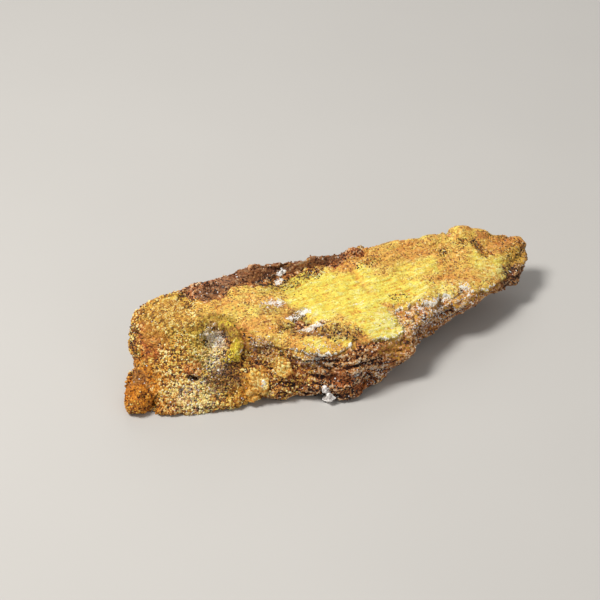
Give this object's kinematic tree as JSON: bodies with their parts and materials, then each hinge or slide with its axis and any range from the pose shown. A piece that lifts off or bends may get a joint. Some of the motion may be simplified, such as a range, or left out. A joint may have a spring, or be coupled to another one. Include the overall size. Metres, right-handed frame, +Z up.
{
  "type": "campylite specimen",
  "caption": "Wedge-shaped slab of layered brown ironstone with a thin yellow and orange campylite crust on its upper face.",
  "frame": {"origin": "middle of the bounding box's footprint, on the resting plane", "axes": "+X from the blunt end towards the thin tip, +Y from front to back, +Z up"},
  "size_m": [0.0906, 0.0336, 0.0162],
  "materials": {
    "ironstone": "rough layered brown ironstone",
    "campylite": "waxy yellow to orange crust of tiny crystals",
    "ochre": "earthy orange ochre",
    "white_druse": "sugary white crystals"
  },
  "bodies": {
    "root": {"matrix": "ironstone", "campylite_crust": "campylite", "campylite_tongue": "campylite", "campylite_patch": "campylite", "campylite_ring": "campylite", "ochre_lump_1": "ochre", "ochre_lump_2": "ochre", "white_grain_1": "white_druse", "white_grain_2": "white_druse", "white_grain_3": "white_druse", "white_grain_4": "white_druse"}
  },
  "joints": []
}
